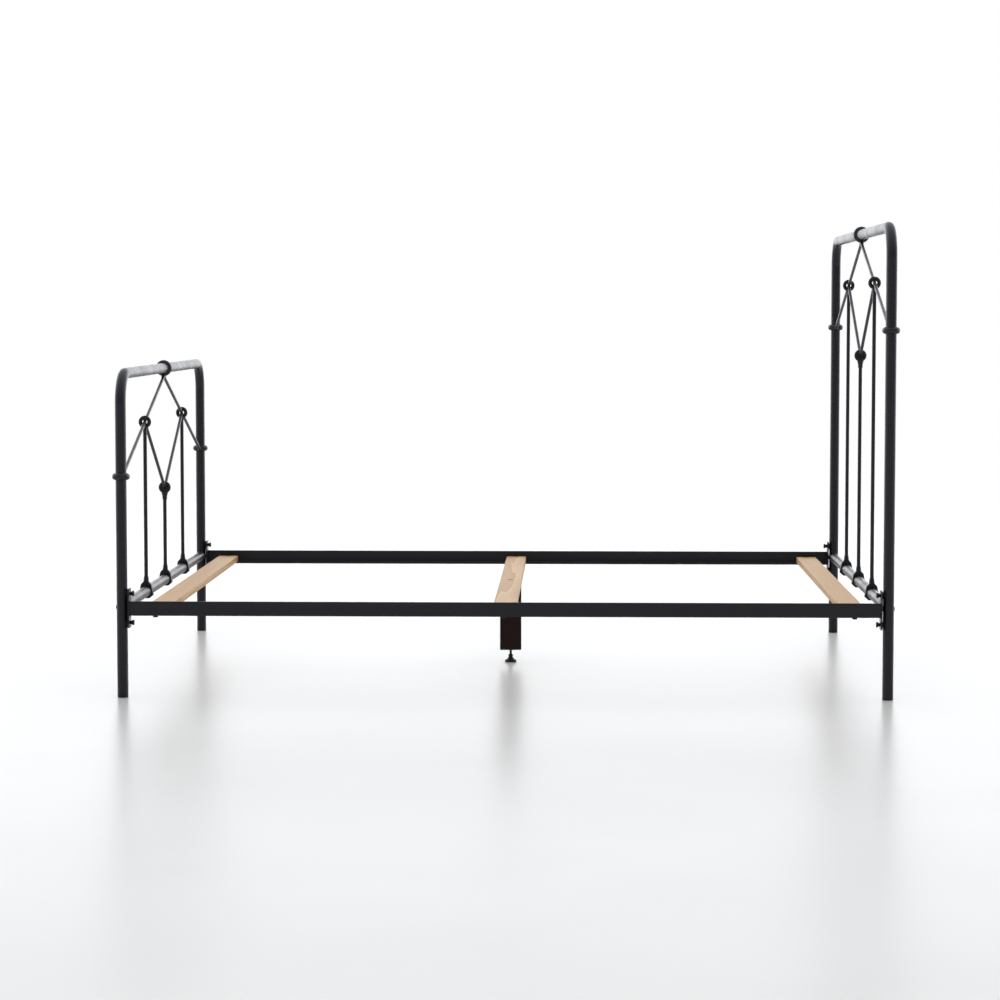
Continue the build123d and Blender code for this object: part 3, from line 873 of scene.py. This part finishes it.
# %% Leveller base
base_low, base_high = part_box("leveller_base")
base_r = (base_high.x - base_low.x) / 2
base_top = base_high.z
section = [
    (0, 0.8 * mm), (base_r - 3.4 * mm, 0.8 * mm), (base_r - 2.6 * mm, 0), (base_r, 0), (base_r, 6 * mm),
    (base_r - 5 * mm, 8.2 * mm), (8.6 * mm, 11.5 * mm), (7.6 * mm, base_top), (4.6 * mm, base_top),
    (4.6 * mm, 9 * mm), (0, 9 * mm)]
bm = bmesh.new()
chain = [bm.verts.new((axis.x + r, axis.y, z)) for r, z in section]
for first, second in zip(chain, chain[1:]):
    bm.edges.new((first, second))
bmesh.ops.bevel(
    bm, geom=chain[3:8], offset=1.0 * mm, affect="VERTICES", segments=4, profile=0.5, material=-1)
bmesh.ops.spin(
    bm, geom=bm.verts[:] + bm.edges[:], cent=axis, axis=(0, 0, 1), angle=math.tau, steps=96, use_merge=True)
bmesh.ops.remove_doubles(bm, verts=bm.verts, dist=0.01 * mm)
bmesh.ops.dissolve_degenerate(bm, edges=bm.edges, dist=0.01 * mm)
name = "leveller_base_moulded"
place_piece(to_mesh(bm, name), name, "leveller_base", "black_plastic", "leveller_base")
print("leveller base:", round(2 * base_r / mm, 1), "mm across")

# %% [markdown]
# ## Weld beads
#
# The crossbar is welded to the posts, and the rails to their plates. A weld is a row of small
# overlapping puddles, so its bead swells a little every couple of millimetres. Round the crossbar's
# end the bead follows the saddle where two tubes of one size meet: a ring spun round the crossbar,
# then pushed along it until it lies on the post.

# %% Welds
def add_saddle_weld(bm, x, y, z, inward):
    """The weld round a crossbar's end, on the bed's side of a post."""
    weld_ring_r = tube_r + 0.4 * mm
    shape = bmesh.new()
    bmesh.ops.create_circle(shape, segments=12, radius=2 * mm)
    bmesh.ops.translate(shape, vec=(weld_ring_r, 0, 0), verts=shape.verts)
    bmesh.ops.spin(
        shape, geom=shape.verts[:] + shape.edges[:], cent=(0, 0, 0), axis=(0, 1, 0),
        angle=math.tau, steps=240, use_merge=True)
    for vert in shape.verts:
        around = math.atan2(vert.co.z, vert.co.x)
        middle = Vector((math.cos(around), 0, math.sin(around))) * weld_ring_r
        puddle = 1 + 0.14 * math.sin(44 * around) + 0.08 * math.sin(5 * around + z * 90 + x * 7)
        vert.co = middle + (vert.co - middle) * puddle
        vert.co.y += inward * math.sqrt(max(0, tube_r ** 2 - middle.x ** 2))
    add_shape(bm, shape, upright, Vector((x, y, z)))


def add_straight_weld(bm, start, stop):
    """A straight weld from one point to another."""
    shape = bmesh.new()
    run = stop - start
    bmesh.ops.create_cone(
        shape, cap_ends=True, segments=12, radius1=1.9 * mm, radius2=1.9 * mm, depth=run.length)
    lengthwise = [e for e in shape.edges if abs(e.verts[0].co.z - e.verts[1].co.z) > 1 * mm]
    bmesh.ops.subdivide_edges(shape, edges=lengthwise, cuts=90)
    for vert in shape.verts:
        swell = 1 + 0.14 * math.sin(vert.co.z / (2.1 * mm) * math.tau)
        taper = min(1, (run.length / 2 - abs(vert.co.z) + 0.5 * mm) / (2 * mm))
        vert.co.x *= swell * max(0.3, taper)
        vert.co.y *= swell * max(0.3, taper)
    add_shape(bm, shape, run.to_track_quat("Z", "Y").to_matrix(), (start + stop) / 2)


bm = bmesh.new()
for end in ends:
    bar = middle_of(f"{end}_crossbar")
    post_y = abs(middle_of(f"{end}_post_collar_left").y)
    for inward in (1, -1):
        add_saddle_weld(bm, bar.x, -inward * post_y, bar.z, inward)
for side in sides:
    rail_low, rail_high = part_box(f"side_rail_{side}")
    outer = max((rail_low.y, rail_high.y), key=abs)
    inner = min((rail_low.y, rail_high.y), key=abs)
    for x in (rail_low.x, rail_high.x):
        at = x - math.copysign(0.6 * mm, x)
        edge = outer - math.copysign(0.4 * mm, outer)
        stop = inner + math.copysign(4 * mm, inner)
        foot = rail_low.z + 0.3 * mm
        add_straight_weld(
            bm, Vector((at, edge, rail_low.z + 1 * mm)), Vector((at, edge, rail_high.z - 2 * mm)))
        add_straight_weld(bm, Vector((at, edge, foot)), Vector((at, stop, foot)))
place_piece(to_mesh(bm, "weld_beads"), "weld_beads", "frame", "powder_coat")
print("welds ready")

# %% [markdown]
# ## Studio floor
#
# The floor is pale polished concrete: its colour changes slowly in patches about half a metre across,
# and it is smooth enough to mirror the posts softly. Far from the bed it turns into the backdrop, so
# that no horizon shows. The far part is plain white to the camera and brighter in mirror images, like
# the lit wall that it runs into.

# %% Floor
def make_floor():
    """A round floor that fades into the backdrop."""
    bm = bmesh.new()
    bmesh.ops.create_circle(bm, cap_ends=True, segments=96, radius=9)
    mesh = bpy.data.meshes.new("studio_floor")
    bm.to_mesh(mesh)
    bm.free()
    floor = bpy.data.objects.new("studio_floor", mesh)
    bpy.context.scene.collection.objects.link(floor)
    material, tree, shader = new_finish(
        "polished_pale_concrete", IOR=1.33, Roughness=0.3, Specular_IOR_Level=0.15)
    place = add_node(tree, "TexCoord").outputs["Object"]
    patches = add_node(tree, "TexNoise", Vector=place, Scale=2.0, Detail=5.0)
    colour = add_node(
        tree, "MixRGB", Fac=patches.outputs["Fac"], Color1=linear("#d3d2cf"), Color2=linear("#dbdad7"))
    tree.links.new(colour.outputs[0], shader.inputs["Base Color"])
    away = add_node(tree, "VectorMath", {"operation": "LENGTH"}, i0=place)
    far = add_node(
        tree, "MapRange", {"interpolation_type": "SMOOTHSTEP"},
        Value=away.outputs["Value"], From_Min=4.0, From_Max=8.5)
    seen = add_node(tree, "LightPath").outputs["Is Camera Ray"]
    glow = add_node(tree, "MapRange", Value=seen, To_Min=2.2, To_Max=1.0)
    backdrop = add_node(tree, "Emission", Color=(1, 1, 1, 1), Strength=glow.outputs[0])
    mix = add_node(tree, "MixShader", Fac=far.outputs[0], i1=shader.outputs[0], i2=backdrop.outputs[0])
    tree.links.new(mix.outputs[0], tree.nodes["Material Output"].inputs["Surface"])
    mesh.materials.append(material)


make_floor()

# %% [markdown]
# ## Studio light
#
# A black frame is drawn by what it mirrors. The room is a white sweep under a soft even ceiling, with
# its wall lit brightly behind the bed and left dark on the other side: tubes that run towards the
# wall mirror it along their whole length, while the faces turned away from it stay dark. A dim panel
# past the foot end gives the posts a soft edge on that side. The light is a world, so every view is
# lit by the same room, and the camera sees its backdrop as plain white.

# %% Light
def make_studio_light():
    """A bright low wall behind the bed, a soft ceiling and a dim panel at the foot end."""
    world = bpy.data.worlds.new("studio")
    bpy.context.scene.world = world
    world.use_nodes = True
    tree = world.node_tree
    tree.nodes.clear()
    direction = add_node(tree, "TexCoord").outputs["Generated"]
    parts = add_node(tree, "SeparateXYZ", Vector=direction)
    behind = add_node(
        tree, "MapRange", {"interpolation_type": "SMOOTHSTEP"},
        Value=parts.outputs["Y"], From_Min=-0.2, From_Max=0.8, To_Min=0.10, To_Max=2.9)
    low = add_node(
        tree, "MapRange", {"interpolation_type": "SMOOTHSTEP"},
        Value=parts.outputs["Z"], From_Min=0.15, From_Max=0.6, To_Min=1.0, To_Max=0.0)
    wall = add_node(tree, "Math", {"operation": "MULTIPLY"}, i0=behind.outputs[0], i1=low.outputs[0])
    above = add_node(
        tree, "MapRange", {"interpolation_type": "SMOOTHSTEP"},
        Value=parts.outputs["Z"], From_Min=0.1, From_Max=0.55, To_Min=0.0, To_Max=1.0)
    back_half = add_node(
        tree, "MapRange", Value=parts.outputs["Y"], From_Min=-0.8, From_Max=0.3, To_Min=0.5, To_Max=1.05)
    side = add_node(
        tree, "MapRange", {"interpolation_type": "SMOOTHSTEP"},
        Value=parts.outputs["X"], From_Min=-0.5, From_Max=-0.9, To_Min=0.0, To_Max=0.35)
    filled = add_node(tree, "Math", {"operation": "MAXIMUM"}, i0=wall.outputs[0], i1=side.outputs[0])
    strength = add_node(
        tree, "Math", {"operation": "MULTIPLY_ADD"},
        i0=above.outputs[0], i1=back_half.outputs[0], i2=filled.outputs[0])
    sweep = add_node(tree, "Background", Color=(0.95, 0.97, 1, 1), Strength=strength.outputs[0])
    white = add_node(tree, "Background", Color=(1, 1, 1, 1), Strength=1.0)
    seen = add_node(tree, "LightPath").outputs["Is Camera Ray"]
    mix = add_node(tree, "MixShader", Fac=seen, i1=sweep.outputs[0], i2=white.outputs[0])
    add_node(tree, "OutputWorld", Surface=mix.outputs[0])


make_studio_light()
bpy.context.scene.view_settings.view_transform = "Standard"
print("world:", bpy.context.scene.world.name)
